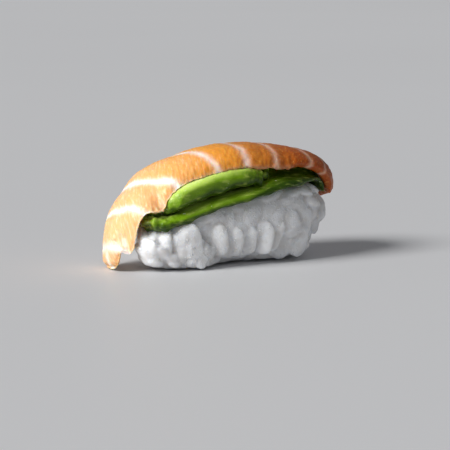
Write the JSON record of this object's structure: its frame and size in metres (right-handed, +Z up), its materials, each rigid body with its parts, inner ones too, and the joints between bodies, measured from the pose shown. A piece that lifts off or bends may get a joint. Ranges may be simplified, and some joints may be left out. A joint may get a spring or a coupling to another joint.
{
  "type": "salmon and avocado nigiri",
  "caption": "Hand-pressed rice mound with avocado slices laid along it and a draped slice of raw salmon that hangs down over one end.",
  "frame": {"origin": "on the surface it stands on, below the middle of the whole", "axes": "+X along the nigiri, from the salmon's long hanging end to its short end; +Y away from the side where the avocado shows; +Z up"},
  "size_m": [0.0666, 0.0302, 0.0305],
  "materials": {
    "salmon": "moist raw fish",
    "avocado": "moist soft fruit",
    "rice": "moist boiled rice"
  },
  "bodies": {
    "root": {"rice": "rice", "avocado_lower": "avocado", "avocado_upper": "avocado", "salmon": "salmon"}
  },
  "joints": []
}
